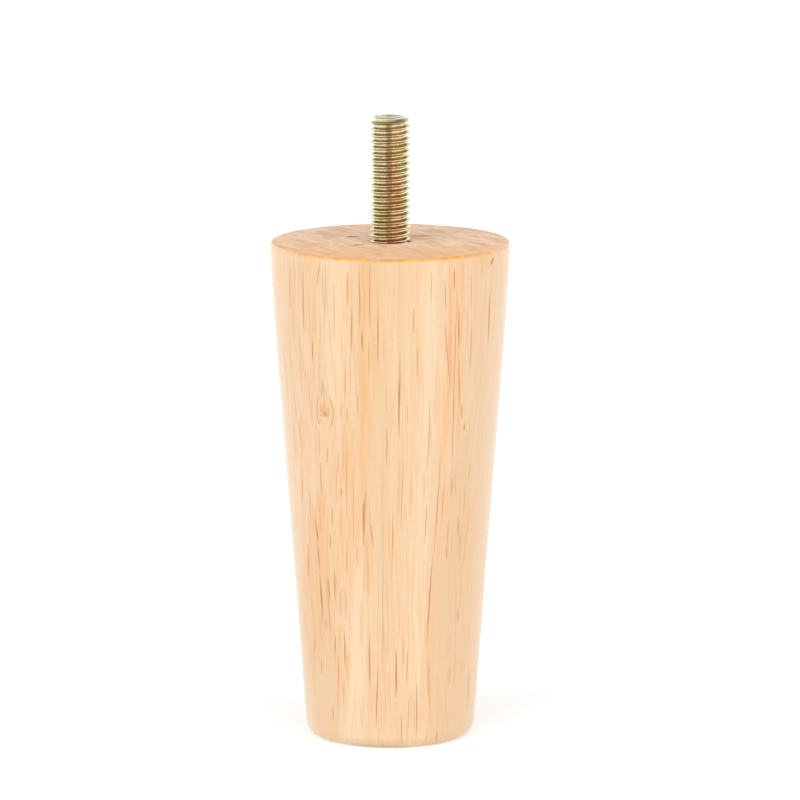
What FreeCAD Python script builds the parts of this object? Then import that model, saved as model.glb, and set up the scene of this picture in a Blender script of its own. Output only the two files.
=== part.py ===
"""A tapered wooden furniture leg with a steel hanger bolt in its top.

Two pieces: the turned leg, one piece of hardwood with a blind drilled hole, and the bolt, whose machine end stands
out of the top face while its wood screw end is driven into the hole. Both threads are drawn at their outer
diameter, so the bolt's sides are plain here.

Frame: millimetres, +Z up, the origin in the middle of the foot, on the floor. The leg stands as it is used.
"""
import FreeCAD, Part
import math
import os

import Sketcher

DRIVING_SIZES = {
    # the turned leg
    "leg_height": 100.0,
    "top_diameter": 48.0,  # where the line of the side meets the top face
    "foot_diameter": 33.4,  # where the line of the side meets the floor
    "ease_length": 26.0,  # over this length below the top, the side curves in from the taper
    "ease_depth": 0.34,  # how far it has come in at the top
    "top_round": 0.7,
    "foot_round": 2.6,
    # the end of the bolt that stands out
    "stud_diameter": 8.0,
    "stud_length": 25.0,
    "stud_chamfer": 0.8,
    # the rest of the bolt, hidden in the wood
    "buried_length": 25.0,
    "shank_length": 4.0,
    "shank_step": 0.45,  # the plain shank is this much smaller in radius than the stud
    "screw_diameter": 8.0,
    "point_angle": 30.0,  # between the side of the screw's point and the axis
    "point_flat": 0.4,  # diameter of the blunt end of the point
    # the hole in the leg
    "hole_clearance": 0.1,  # all round, outside the larger of the two threads
    "hole_beyond": 2.0,  # the hole's full width goes this much deeper than the point
    "drill_angle": 118.0,  # of the drilled end, from side to side
    "mouth_bevel": 0.25,
}

doc = FreeCAD.newDocument("furniture_leg")
sizes = doc.addObject("Spreadsheet::Sheet", "sizes")
for row, (name, value) in enumerate(DRIVING_SIZES.items(), start=1):
    sizes.set(f"A{row}", name)
    sizes.set(f"B{row}", str(value))
    sizes.setAlias(f"B{row}", name)
doc.recompute()

# Lengths that several features share, as expressions on the sheet.
TOP = "sizes.leg_height"
TOP_RADIUS = "sizes.top_diameter / 2"
FOOT_RADIUS = "sizes.foot_diameter / 2"
STUD_RADIUS = "sizes.stud_diameter / 2"
SCREW_RADIUS = "sizes.screw_diameter / 2"
POINT_HEIGHT = "(sizes.leg_height - sizes.buried_length)"
HOLE_DIAMETER = "(max(sizes.stud_diameter; sizes.screw_diameter) + 2 * sizes.hole_clearance)"


def number(expression):
    """The present value of an expression on the sheet."""
    value = sizes.evalExpression(expression)
    return float(getattr(value, "Value", value))


def new_sketch(body, name, role):
    """A sketch on one of the body's own origin planes."""
    plane = [part for part in body.Origin.OriginFeatures if part.Role == role][0]
    sketch = body.newObject("Sketcher::SketchObject", name)
    sketch.AttachmentSupport = (plane, [""])
    sketch.MapMode = "FlatFace"
    return sketch


def bound(feature, name, expression):
    """Give a feature's size its present value and tie it to the sheet."""
    setattr(feature, name, number(expression))
    feature.setExpression(name, expression)


def tie(sketch, kind, expression, *where):
    """Add a dimension to a sketch and tie it to the sheet."""
    index = sketch.addConstraint(Sketcher.Constraint(kind, *where, number(expression)))
    sketch.setExpression(f"Constraints[{index}]", expression)


def tie_point(sketch, curve, end, radius, height):
    """Tie one end of a curve to a radius and a height above the floor. A radius of None lies on the axis."""
    if radius is None:
        sketch.addConstraint(Sketcher.Constraint("PointOnObject", curve, end, -2))
    else:
        tie(sketch, "DistanceX", radius, -1, 1, curve, end)
    if height is None:
        sketch.addConstraint(Sketcher.Constraint("PointOnObject", curve, end, -1))
    else:
        tie(sketch, "DistanceY", height, -1, 1, curve, end)


def turned(body, name, sketch):
    """Turn a half section about the upright axis."""
    feature = body.newObject("PartDesign::Revolution", name)
    feature.Profile = sketch
    feature.ReferenceAxis = (sketch, ["V_Axis"])
    feature.Angle = 360
    doc.recompute()
    return feature


def rim(feature, height):
    """The names of the round edges that lie level at one height."""
    names = []
    for i, edge in enumerate(feature.Shape.Edges, start=1):
        box = edge.BoundBox
        level = box.ZLength < 0.001 and abs(box.ZMin - height) < 0.001
        if level and isinstance(edge.Curve, Part.Circle):
            names.append(f"Edge{i}")
    return names


def draw_leg_section(body):
    """Half of the leg's section, from the foot's centre outwards and up.

    The side is a straight taper that an arc eases in below the top. A small arc rounds the edge at each end. Two
    construction points mark the corners that those arcs take off, because the two diameters are measured there.
    """
    ease_height = f"({TOP} - sizes.ease_length)"
    unbent_radius = f"({TOP_RADIUS} + sizes.ease_depth)"
    ease_radius = f"({FOOT_RADIUS} + ({unbent_radius} - {FOOT_RADIUS}) * {ease_height} / {TOP})"
    up = FreeCAD.Vector(0, 0, 1)

    # where everything lies, worked out so that the sketch starts solved
    foot_corner = FreeCAD.Vector(number(FOOT_RADIUS), 0, 0)
    top_corner = FreeCAD.Vector(number(TOP_RADIUS), number(TOP), 0)
    ease_start = FreeCAD.Vector(number(ease_radius), number(ease_height), 0)
    along = (ease_start - foot_corner).normalize()
    inward = FreeCAD.Vector(-along.y, along.x, 0)
    chord = top_corner - ease_start
    easing = chord.Length**2 / (2 * chord.dot(inward))
    ease_centre = ease_start + inward * easing

    top_round = number("sizes.top_round")
    top_height = top_corner.y - top_round - ease_centre.y
    top_centre = ease_centre + FreeCAD.Vector(math.sqrt((easing - top_round) ** 2 - top_height**2), top_height, 0)
    ease_end = ease_centre + (top_centre - ease_centre).normalize() * easing

    foot_round = number("sizes.foot_round")
    offset = foot_corner + inward * foot_round
    foot_centre = offset + along * ((foot_round - offset.y) / along.y)
    foot_end = foot_centre - inward * foot_round

    def arc(centre, radius, start, end):
        first = math.atan2(start.y - centre.y, start.x - centre.x)
        last = math.atan2(end.y - centre.y, end.x - centre.x)
        return Part.ArcOfCircle(Part.Circle(centre, up, radius), first, last)

    origin = FreeCAD.Vector(0, 0, 0)
    sole_end = FreeCAD.Vector(foot_centre.x, 0, 0)
    top_start = FreeCAD.Vector(top_centre.x, top_corner.y, 0)
    top_middle = FreeCAD.Vector(0, top_corner.y, 0)

    sketch = new_sketch(body, "leg_section", "XZ_Plane")
    sole = sketch.addGeometry(Part.LineSegment(origin, sole_end), False)
    foot_arc = sketch.addGeometry(arc(foot_centre, foot_round, sole_end, foot_end), False)
    taper = sketch.addGeometry(Part.LineSegment(foot_end, ease_start), False)
    ease_arc = sketch.addGeometry(arc(ease_centre, easing, ease_start, ease_end), False)
    top_arc = sketch.addGeometry(arc(top_centre, top_round, ease_end, top_start), False)
    top = sketch.addGeometry(Part.LineSegment(top_start, top_middle), False)
    axis = sketch.addGeometry(Part.LineSegment(top_middle, origin), False)
    foot_mark = sketch.addGeometry(Part.Point(foot_corner), True)
    top_mark = sketch.addGeometry(Part.Point(top_corner), True)

    for first, second in [(sole, foot_arc), (foot_arc, taper), (taper, ease_arc), (ease_arc, top_arc), (top_arc, top)]:
        sketch.addConstraint(Sketcher.Constraint("Tangent", first, 2, second, 1))
    sketch.addConstraint(Sketcher.Constraint("Coincident", top, 2, axis, 1))
    sketch.addConstraint(Sketcher.Constraint("Coincident", axis, 2, sole, 1))
    sketch.addConstraint(Sketcher.Constraint("Coincident", sole, 1, -1, 1))
    sketch.addConstraint(Sketcher.Constraint("Horizontal", sole))
    sketch.addConstraint(Sketcher.Constraint("Horizontal", top))
    sketch.addConstraint(Sketcher.Constraint("PointOnObject", top, 2, -2))
    tie_point(sketch, foot_mark, 1, FOOT_RADIUS, None)
    tie_point(sketch, top_mark, 1, TOP_RADIUS, TOP)
    sketch.addConstraint(Sketcher.Constraint("PointOnObject", foot_mark, 1, taper))
    sketch.addConstraint(Sketcher.Constraint("PointOnObject", top_mark, 1, ease_arc))
    sketch.addConstraint(Sketcher.Constraint("PointOnObject", top_mark, 1, top))
    tie_point(sketch, taper, 2, ease_radius, ease_height)
    tie(sketch, "Radius", "sizes.foot_round", foot_arc)
    tie(sketch, "Radius", "sizes.top_round", top_arc)
    return sketch


def make_wooden_leg():
    """The turned leg, with a blind hole drilled down from the middle of its top face."""
    body = doc.addObject("PartDesign::Body", "wooden_leg")
    turned(body, "turned_taper", draw_leg_section(body))

    circle = Part.Circle(FreeCAD.Vector(0, 0, 0), FreeCAD.Vector(0, 0, 1), number(HOLE_DIAMETER) / 2)
    spot = new_sketch(body, "hole_spot", "XY_Plane")
    spot.setExpression("AttachmentOffset.Base.z", TOP)
    spot.addGeometry(circle, False)
    spot.addConstraint(Sketcher.Constraint("Coincident", 0, 3, -1, 1))
    tie(spot, "Diameter", HOLE_DIAMETER, 0)
    doc.recompute()

    hole = body.newObject("PartDesign::Hole", "drilled_hole")
    hole.Profile = spot
    hole.DepthType = "Dimension"
    hole.DrillPoint = "Angled"
    hole.DrillForDepth = False
    hole.HoleCutType = "Countersink"
    bound(hole, "Diameter", HOLE_DIAMETER)
    bound(hole, "Depth", "sizes.buried_length + sizes.hole_beyond")
    bound(hole, "DrillPointAngle", "sizes.drill_angle * 1 deg")
    bound(hole, "HoleCutDiameter", f"{HOLE_DIAMETER} + 2 * sizes.mouth_bevel")
    hole.HoleCutCountersinkAngle = 90
    doc.recompute()
    return body


def make_hanger_bolt():
    """The bolt, from the point up: wood screw end, plain shank, and the machine end that stands out."""
    body = doc.addObject("PartDesign::Body", "hanger_bolt")
    shank_radius = f"({STUD_RADIUS} - sizes.shank_step)"
    point_radius = "sizes.point_flat / 2"
    shank_foot = f"({TOP} - sizes.shank_length)"
    stud_top = f"({TOP} + sizes.stud_length)"
    point_top = f"{POINT_HEIGHT} + ({SCREW_RADIUS} - {point_radius}) / tan(sizes.point_angle * 1 deg)"
    corners = [
        (None, POINT_HEIGHT),
        (point_radius, POINT_HEIGHT),
        (SCREW_RADIUS, point_top),
        (SCREW_RADIUS, shank_foot),
        (shank_radius, shank_foot),
        (shank_radius, TOP),
        (STUD_RADIUS, TOP),
        (STUD_RADIUS, stud_top),
        (None, stud_top),
    ]
    points = [FreeCAD.Vector(number(radius) if radius else 0, number(height), 0) for radius, height in corners]
    section = new_sketch(body, "bolt_section", "XZ_Plane")
    count = len(corners)
    for i in range(count):
        section.addGeometry(Part.LineSegment(points[i], points[(i + 1) % count]), False)
    for i in range(count):
        section.addConstraint(Sketcher.Constraint("Coincident", i, 2, (i + 1) % count, 1))
    for i, (radius, height) in enumerate(corners):
        tie_point(section, i, 1, radius, height)
    blank = turned(body, "turned_blank", section)

    chamfer = body.newObject("PartDesign::Chamfer", "stud_end")
    chamfer.Base = (blank, rim(blank, number(stud_top)))
    bound(chamfer, "Size", "sizes.stud_chamfer")
    doc.recompute()
    return body


pieces = [make_wooden_leg(), make_hanger_bolt()]
doc.recompute()

for item in doc.Objects:
    if "Invalid" in item.State or "Error" in item.State:
        raise RuntimeError(f"{item.Label} failed: {item.State}")
os.makedirs("parts", exist_ok=True)
for piece in pieces:
    shape = piece.Shape
    if shape.isNull() or not shape.isValid() or len(shape.Solids) != 1:
        raise RuntimeError(f"{piece.Label} is not one valid solid")
for piece in pieces:
    piece.Shape.exportStep(f"parts/{piece.Label}.step")
    print(piece.Label, "volume in cubic millimetres:", round(piece.Shape.Volume, 1))
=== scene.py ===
import math
from types import SimpleNamespace
import bpy
import numpy as np
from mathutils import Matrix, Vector


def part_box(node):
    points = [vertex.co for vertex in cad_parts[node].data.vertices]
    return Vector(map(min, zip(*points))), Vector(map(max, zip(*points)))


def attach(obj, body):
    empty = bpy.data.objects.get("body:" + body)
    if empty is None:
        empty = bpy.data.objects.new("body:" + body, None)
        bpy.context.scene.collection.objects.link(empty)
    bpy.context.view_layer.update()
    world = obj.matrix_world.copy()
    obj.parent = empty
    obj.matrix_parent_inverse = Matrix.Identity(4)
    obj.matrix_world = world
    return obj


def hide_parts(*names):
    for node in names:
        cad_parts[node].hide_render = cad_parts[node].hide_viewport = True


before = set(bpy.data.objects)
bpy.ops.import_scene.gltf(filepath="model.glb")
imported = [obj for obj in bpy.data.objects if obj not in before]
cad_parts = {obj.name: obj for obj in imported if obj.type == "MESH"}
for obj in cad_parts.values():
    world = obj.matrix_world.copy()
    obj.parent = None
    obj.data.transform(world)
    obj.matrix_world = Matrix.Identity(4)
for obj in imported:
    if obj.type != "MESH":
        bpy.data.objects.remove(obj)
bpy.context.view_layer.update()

MM = 0.001

# Sizes of the leg and its bolt, in millimetres
LEG_HEIGHT = 100.0
TOP_DIAMETER = 48.0
FOOT_DIAMETER = 33.4
EASE_LENGTH = 26.0
EASE_DEPTH = 0.34
TOP_ROUND = 0.7
FOOT_ROUND = 2.6
HOLE_RADIUS = 4.1
HOLE_FLOOR = 73.0
HOLE_POINT = 70.536
MOUTH_BEVEL = 0.25
BOLT_TOP = 125.0
BOLT_POINT = 75.0
BOLT_RADIUS = 4.0
SHANK_RADIUS = 3.55
SHANK_LOW = 96.0
SHANK_HIGH = 98.9

# Rings laid a little beside the leg's edges, so that its smooth shading stays crisp there
FOOT_INSET = 0.4
RIM_INSET = 0.25
MOUTH_INSET = 0.1
BORE_INSET = 0.15
FLOOR_INSET = 0.1
FLOOR_DROP = 0.06

# Columns round the leg and round the bolt
LEG_COLUMNS = 320
BOLT_COLUMNS = 96

# The machine thread: pitch, height of a crest at the right, height where it has its full depth, the arcs over
# its crest and in its root, and steps along one pitch
STUD_PITCH = 1.25
STUD_CREST = 98.055
STUD_FULL = 99.9
CREST_ARC = 0.11
ROOT_ARC = 0.16
STUD_STEPS = 24

# The stud's cut end: the chamfer's small radius, unevenness and slope, how much the last turns are worn and
# over what height, the share of a pitch in which the rows run in to the axis, and the shallow cup in the face
END_RADIUS = 3.15
END_UNEVEN = 0.04
CHAMFER_SLOPE = 0.9
END_WEAR = 0.5
END_WEAR_HEIGHT = 1.3
END_FACE_RUN = 0.95
CUP_RADIUS = 2.6
CUP_WIDTH = 1.6
CUP_DEPTH = 0.3

# The wood thread: pitch, core, the ridge's half width, slope and softness at its foot, the heights where
# crest and core start to run out, the point's radius, angle and core, and steps along one pitch
SCREW_PITCH = 3.4
SCREW_CORE = 2.85
RIDGE_HALF_WIDTH = 0.07
RIDGE_SLOPE = 1.75
RIDGE_SOFTNESS = 0.02
CREST_RUN_OUT = 93.0
CORE_RUN_OUT = 94.5
POINT_RADIUS = 0.2
POINT_ANGLE = 30.0
POINT_CORE_SHARE = 0.72
POINT_FACE_RUN = 0.9
SCREW_STEPS = 34

# Rows more than one turn past a thread's end
SPARE_ROWS = 4


# Surfaces on grids

def skin(grid, seam_shift=0):
    """Triangles of a closed round surface. The grid has one row per step along it and one column per step
    round it. Each cell is cut into two triangles, and the last column joins the first one, seam_shift rows
    up."""
    rows, columns = grid.shape[:2]
    number = np.arange(rows * columns).reshape(rows, columns)
    beyond = number[:, :1]
    if seam_shift:
        beyond = np.minimum(np.arange(rows) + seam_shift, rows - 1)[:, None] * columns
    wide = np.concatenate([number, beyond], axis=1)
    a, b = wide[:-1, :-1], wide[:-1, 1:]
    c, d = wide[1:, 1:], wide[1:, :-1]
    return np.concatenate([np.stack([a, b, c], -1).reshape(-1, 3), np.stack([a, c, d], -1).reshape(-1, 3)])


def weld(parts):
    """Joins several skins: points that coincide become one, and triangles with equal corners are dropped."""
    points = np.concatenate([grid.reshape(-1, 3) for grid, triangles in parts])
    starts = np.cumsum([0] + [grid.shape[0] * grid.shape[1] for grid, triangles in parts])
    faces = np.concatenate([triangles + start for (grid, triangles), start in zip(parts, starts)])
    kept, place = np.unique(np.round(points, 6), axis=0, return_inverse=True)
    faces = place.reshape(-1)[faces]
    whole = (faces[:, 0] != faces[:, 1]) & (faces[:, 1] != faces[:, 2]) & (faces[:, 2] != faces[:, 0])
    return kept, faces[whole]


def make_piece(name, points, faces):
    """Puts points, given in millimetres, and triangles into a smooth-shaded mesh object at the origin."""
    mesh = bpy.data.meshes.new(name)
    mesh.vertices.add(len(points))
    mesh.vertices.foreach_set("co", (points * MM).astype(np.float32).ravel())
    mesh.loops.add(faces.size)
    mesh.loops.foreach_set("vertex_index", faces.astype(np.int32).ravel())
    mesh.polygons.add(len(faces))
    mesh.polygons.foreach_set("loop_start", np.arange(0, faces.size, 3, dtype=np.int32))
    mesh.polygons.foreach_set("loop_total", np.full(len(faces), 3, dtype=np.int32))
    mesh.update(calc_edges=True)
    mesh.polygons.foreach_set("use_smooth", np.ones(len(faces), dtype=bool))
    mesh.validate()
    made = bpy.data.objects.new(name, mesh)
    bpy.context.scene.collection.objects.link(made)
    return made


def round_points(radius, angle, height):
    """Points round the z axis: x = radius times the angle's cosine, y = radius times its sine, z = height."""
    return np.stack([radius * np.cos(angle), radius * np.sin(angle), height + 0 * angle], axis=-1)


def turn_round(outline, columns):
    """Surface of revolution: each outline point (radius, height) becomes a ring at evenly spread angles."""
    angle = np.arange(columns) * 2 * np.pi / columns
    return round_points(outline[:, :1], angle, outline[:, 1:])


def arc(centre, radius, start, end, count):
    """Points on a circle from one angle to another: centre plus radius times the angle's cosine and sine."""
    angle = np.linspace(start, end, count)
    return np.stack([centre[0] + radius * np.cos(angle), centre[1] + radius * np.sin(angle)], axis=1)


def straight(start, end, count):
    """Points spread evenly on the line from start to end."""
    share = np.linspace(0, 1, count)[:, None]
    return np.array(start) * (1 - share) + np.array(end) * share


# The turned leg

def leg_outline():
    """Half section of the leg from the middle of the foot, out, up the taper, over the top edge and down the
    hole. The taper is straight, then an arc tangent to it bends in to the top diameter, and two small arcs
    tangent to their neighbours round the foot and the top edge."""
    foot = np.array([FOOT_DIAMETER / 2, 0.0])
    slope = (TOP_DIAMETER / 2 + EASE_DEPTH - FOOT_DIAMETER / 2) / LEG_HEIGHT
    along = np.array([slope, 1.0]) / math.hypot(slope, 1.0)
    inward = np.array([-along[1], along[0]])
    ease_start = foot + along * (LEG_HEIGHT - EASE_LENGTH) / along[1]
    chord = np.array([TOP_DIAMETER / 2, LEG_HEIGHT]) - ease_start
    big = chord.dot(chord) / (2 * chord.dot(inward))
    centre = ease_start + inward * big
    edge_height = LEG_HEIGHT - TOP_ROUND
    reach = math.sqrt((big - TOP_ROUND) ** 2 - (edge_height - centre[1]) ** 2)
    edge = np.array([centre[0] + reach, edge_height])
    lean = math.atan2(edge[1] - centre[1], edge[0] - centre[0])
    start_lean = math.atan2(ease_start[1] - centre[1], ease_start[0] - centre[0])
    heel_run = (FOOT_ROUND - FOOT_ROUND * inward[1]) / along[1]
    heel = foot + along * heel_run + inward * FOOT_ROUND
    heel_end = heel - inward * FOOT_ROUND
    taper_lean = math.atan2(-inward[1], -inward[0])
    mouth = HOLE_RADIUS + MOUTH_BEVEL
    bore_top = LEG_HEIGHT - MOUTH_BEVEL
    return np.concatenate([
        straight((0, 0), (heel[0] - FOOT_INSET, 0), count=12),
        arc(heel, FOOT_ROUND, -math.pi / 2, taper_lean, count=22),
        straight(heel_end, ease_start, count=64)[1:],
        arc(centre, big, start_lean, lean, count=26)[1:],
        arc(edge, TOP_ROUND, lean, math.pi / 2, count=12)[1:],
        straight((edge[0] - RIM_INSET, LEG_HEIGHT), (mouth + MOUTH_INSET, LEG_HEIGHT), count=16),
        straight((mouth, LEG_HEIGHT), (HOLE_RADIUS, bore_top), count=4),
        straight((HOLE_RADIUS, bore_top - BORE_INSET), (HOLE_RADIUS, HOLE_FLOOR), count=14),
        straight((HOLE_RADIUS - FLOOR_INSET, HOLE_FLOOR - FLOOR_DROP), (0, HOLE_POINT), count=6),
    ])


def make_leg():
    """The whole leg as one closed turned surface, no wider than the solid it stands for."""
    outline = leg_outline()
    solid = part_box("wooden_leg")
    outline[:, 0] *= min(1.0, solid[1][0] / MM / outline[:, 0].max())
    grid = turn_round(outline, LEG_COLUMNS)
    return make_piece("turned_leg", *weld([(grid, skin(grid))]))


# The double-ended bolt

def smooth_step(value, low, high):
    """0 below low, 1 above high, and a cubic ease between them."""
    share = np.clip((value - low) / (high - low), 0, 1)
    return share * share * (3 - 2 * share)


def from_crest(share, pitch):
    """Distance along a thread from the nearest crest, against the share of a turn. Crests lie at whole
    turns."""
    return np.abs((share + 0.5) % 1.0 - 0.5) * pitch


def metric_depth(share):
    """Radius of a coarse metric thread against the share of a turn along it: a small arc over the crest at 0,
    flanks at 30 degrees to the thread's plane, and a small arc in the root at a half."""
    away = from_crest(share, STUD_PITCH)
    back = STUD_PITCH / 2 - away
    crest = BOLT_RADIUS - CREST_ARC + np.sqrt(np.maximum(CREST_ARC ** 2 - away ** 2, 0.0))
    flank = BOLT_RADIUS + CREST_ARC - away * math.sqrt(3)
    sharp_root = BOLT_RADIUS + CREST_ARC - STUD_PITCH / 2 * math.sqrt(3)
    root = sharp_root + 2 * ROOT_ARC - np.sqrt(np.maximum(ROOT_ARC ** 2 - back ** 2, 0.0))
    touch = math.cos(math.radians(30))
    return np.where(away < CREST_ARC * touch, crest, np.where(back < ROOT_ARC * touch, root, flank))


def wood_screw_depth(share, core, crest):
    """Radius of the coarse wood thread: a thin sharp ridge at share 0 that stands on a smooth core."""
    away = from_crest(share, SCREW_PITCH)
    ridge = crest - np.maximum(away - RIDGE_HALF_WIDTH, 0) * RIDGE_SLOPE
    lifted = 0.5 * (ridge + core + np.sqrt((ridge - core) ** 2 + RIDGE_SOFTNESS))
    return np.minimum(lifted, crest)


def helical_rows(start, end, pitch, steps, turns_before):
    """Each point's share of a turn along the thread, and its height, on right-hand helical rows. The height
    is the start plus the pitch times the sum of the row's turns and the angle's share of a full turn, so each
    row keeps one place in the thread's section. The rows begin some turns before the start and go on for a
    turn past the end."""
    row = np.arange(-turns_before * steps, int((end - start) / pitch * steps) + steps + SPARE_ROWS)[:, None]
    turn = np.arange(BOLT_COLUMNS) / BOLT_COLUMNS
    return row / steps + 0 * turn, start + pitch * (row / steps + turn)


def stud_points(angle):
    """The machine end. Rows below the shank's upper ring are laid on that ring, and rows past the end are
    laid on the end face and run in to the axis, where the face dips in a shallow cup."""
    share, height = helical_rows(STUD_CREST, BOLT_TOP, STUD_PITCH, STUD_STEPS, turns_before=1)
    radius = metric_depth(share)
    radius = SHANK_RADIUS + (radius - SHANK_RADIUS) * smooth_step(height, SHANK_HIGH, STUD_FULL)
    below = np.maximum(BOLT_TOP - height, 0)
    radius = radius - END_WEAR * np.exp(-below / END_WEAR_HEIGHT)
    chamfer = END_RADIUS + END_UNEVEN * np.sin(3 * angle + 1.0) + CHAMFER_SLOPE * below
    radius = np.minimum(radius, chamfer)
    radius = np.where(height <= SHANK_HIGH, SHANK_RADIUS, radius)
    past = np.maximum(height - BOLT_TOP, 0)
    radius = radius * np.clip(1 - past / (END_FACE_RUN * STUD_PITCH), 0, 1)
    cup = CUP_DEPTH * smooth_step(CUP_RADIUS - radius, 0.0, CUP_WIDTH) * (past > 0)
    return round_points(radius, angle, np.clip(height, SHANK_HIGH, BOLT_TOP) - cup)


def screw_points(angle):
    """The wood thread with its blunt point. Rows before the point run in to the axis on a small flat, and
    rows past the shank's lower ring are laid on that ring."""
    share, height = helical_rows(BOLT_POINT, SHANK_LOW, SCREW_PITCH, SCREW_STEPS, turns_before=2)
    cone = POINT_RADIUS + np.maximum(height - BOLT_POINT, 0) * math.tan(math.radians(POINT_ANGLE))
    core = np.minimum(SCREW_CORE, cone * POINT_CORE_SHARE)
    core = core + (SHANK_RADIUS - core) * smooth_step(height, CORE_RUN_OUT, SHANK_LOW)
    crest = np.minimum(BOLT_RADIUS, cone)
    crest = crest + (SHANK_RADIUS - crest) * smooth_step(height, CREST_RUN_OUT, SHANK_LOW)
    radius = wood_screw_depth(share, core, crest)
    radius = np.where(height >= SHANK_LOW, SHANK_RADIUS, radius)
    before = np.maximum(BOLT_POINT - height, 0)
    radius = radius * np.clip(1 - before / (POINT_FACE_RUN * SCREW_PITCH), 0, 1)
    return round_points(radius, angle, np.clip(height, BOLT_POINT, SHANK_LOW))


def make_bolt():
    """The bolt as one closed skin: machine end, plain shank and wood thread, joined at two rings."""
    angle = np.arange(BOLT_COLUMNS) / BOLT_COLUMNS * 2 * np.pi
    stud = stud_points(angle)
    shank_line = straight((SHANK_RADIUS, SHANK_LOW), (SHANK_RADIUS, SHANK_HIGH), count=6)
    shank = turn_round(shank_line, BOLT_COLUMNS)
    screw = screw_points(angle)
    parts = [(stud, skin(stud, STUD_STEPS)), (shank, skin(shank)), (screw, skin(screw, SCREW_STEPS))]
    return make_piece("threaded_bolt", *weld(parts))


# Small helpers for materials

def put(tree, kind, values=(), **settings):
    """Adds a node; each value goes to the socket of that name or number, as a number, a colour or a link."""
    made = tree.nodes.new(kind)
    for name, value in settings.items():
        setattr(made, name, value)
    for name, value in dict(values).items():
        if isinstance(value, bpy.types.NodeSocket):
            tree.links.new(value, made.inputs[name])
        else:
            made.inputs[name].default_value = value
    return made


def maths(tree, operation, a, b=0.0, c=0.0, clamp=False):
    """One sum on numbers."""
    return put(tree, "ShaderNodeMath", {0: a, 1: b, 2: c}, operation=operation, use_clamp=clamp).outputs[0]


def times(tree, a, b):
    """The product of two numbers."""
    return maths(tree, "MULTIPLY", a, b)


def times_plus(tree, a, b, c, clamp=False):
    """The product of two numbers plus a third one."""
    return maths(tree, "MULTIPLY_ADD", a, b, c, clamp)


def squares(tree, a, b):
    """The sum of two numbers' squares."""
    return maths(tree, "ADD", maths(tree, "POWER", a, 2.0), maths(tree, "POWER", b, 2.0))


def vector_maths(tree, operation, a, b=(0, 0, 0)):
    """One sum on vectors."""
    return put(tree, "ShaderNodeVectorMath", {0: a, 1: b}, operation=operation).outputs[0]


def split(tree, vector):
    """A vector's three numbers."""
    return tuple(put(tree, "ShaderNodeSeparateXYZ", {0: vector}).outputs)


def join(tree, x, y, z):
    """A vector from three numbers."""
    return put(tree, "ShaderNodeCombineXYZ", {0: x, 1: y, 2: z}).outputs[0]


def ease(tree, value, low, high, start=0.0, end=1.0):
    """Smooth change from start to end while the value goes from low to high."""
    values = {0: value, 1: low, 2: high, 3: start, 4: end}
    return put(tree, "ShaderNodeMapRange", values, interpolation_type="SMOOTHSTEP").outputs[0]


def blend(tree, share, first, second):
    """Mixes two colours."""
    return put(tree, "ShaderNodeMix", {0: share, 6: first, 7: second}, data_type="RGBA").outputs[2]


def noise(tree, place, rate, detail, roughness, output=0):
    """Soft noise at a place. Rate says how fast it changes along x, y and z. Output 0 is a number, 1 a
    colour."""
    place = vector_maths(tree, "MULTIPLY", place, rate)
    values = {"Vector": place, "Scale": 1.0, "Detail": detail, "Roughness": roughness}
    return put(tree, "ShaderNodeTexNoise", values).outputs[output]


def wander(tree, place, rate, reach):
    """A shift to the side that changes slowly with the place, by up to half of reach either way."""
    shift = noise(tree, place, rate, 1.0, 0.5, output=1)
    centred = vector_maths(tree, "SUBTRACT", shift, (0.5, 0.5, 0.5))
    return vector_maths(tree, "MULTIPLY", centred, (reach, reach, 0))


def in_millimetres(tree):
    """The point of the piece in millimetres."""
    spot = put(tree, "ShaderNodeTexCoord").outputs["Object"]
    return vector_maths(tree, "MULTIPLY", spot, (1000, 1000, 1000))


def colour(red, green, blue):
    """A screen colour, given as 0 to 255, as the light values a shader needs."""
    levels = np.array([red, green, blue]) / 255
    light = np.where(levels <= 0.04045, levels / 12.92, ((levels + 0.055) / 1.055) ** 2.4)
    return (float(light[0]), float(light[1]), float(light[2]), 1.0)


def new_material(name):
    """A material with an empty node tree."""
    material = bpy.data.materials.new(name)
    material.use_nodes = True
    material.node_tree.nodes.clear()
    return material, material.node_tree


def new_group(name, inputs, outputs):
    """An empty shader node group with its named sockets. Gives its tree, input node and output node."""
    tree = bpy.data.node_groups.new(name, "ShaderNodeTree")
    for label, kind in inputs:
        tree.interface.new_socket(label, in_out="INPUT", socket_type=kind)
    for label, kind in outputs:
        tree.interface.new_socket(label, in_out="OUTPUT", socket_type=kind)
    return tree, tree.nodes.new("NodeGroupInput"), tree.nodes.new("NodeGroupOutput")


def use_group(tree, group, values):
    """Places a node group with its own values and gives its mask."""
    return put(tree, "ShaderNodeGroup", values, node_tree=group).outputs[0]


VALUE, VECTOR = "NodeSocketFloat", "NodeSocketVector"


# Vessels and streaks

# How much of a vessel's thickness is full, and the strength of the faintest vessel that shows
VESSEL_CORE = 0.6
VESSEL_FAINT = 0.45


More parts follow.
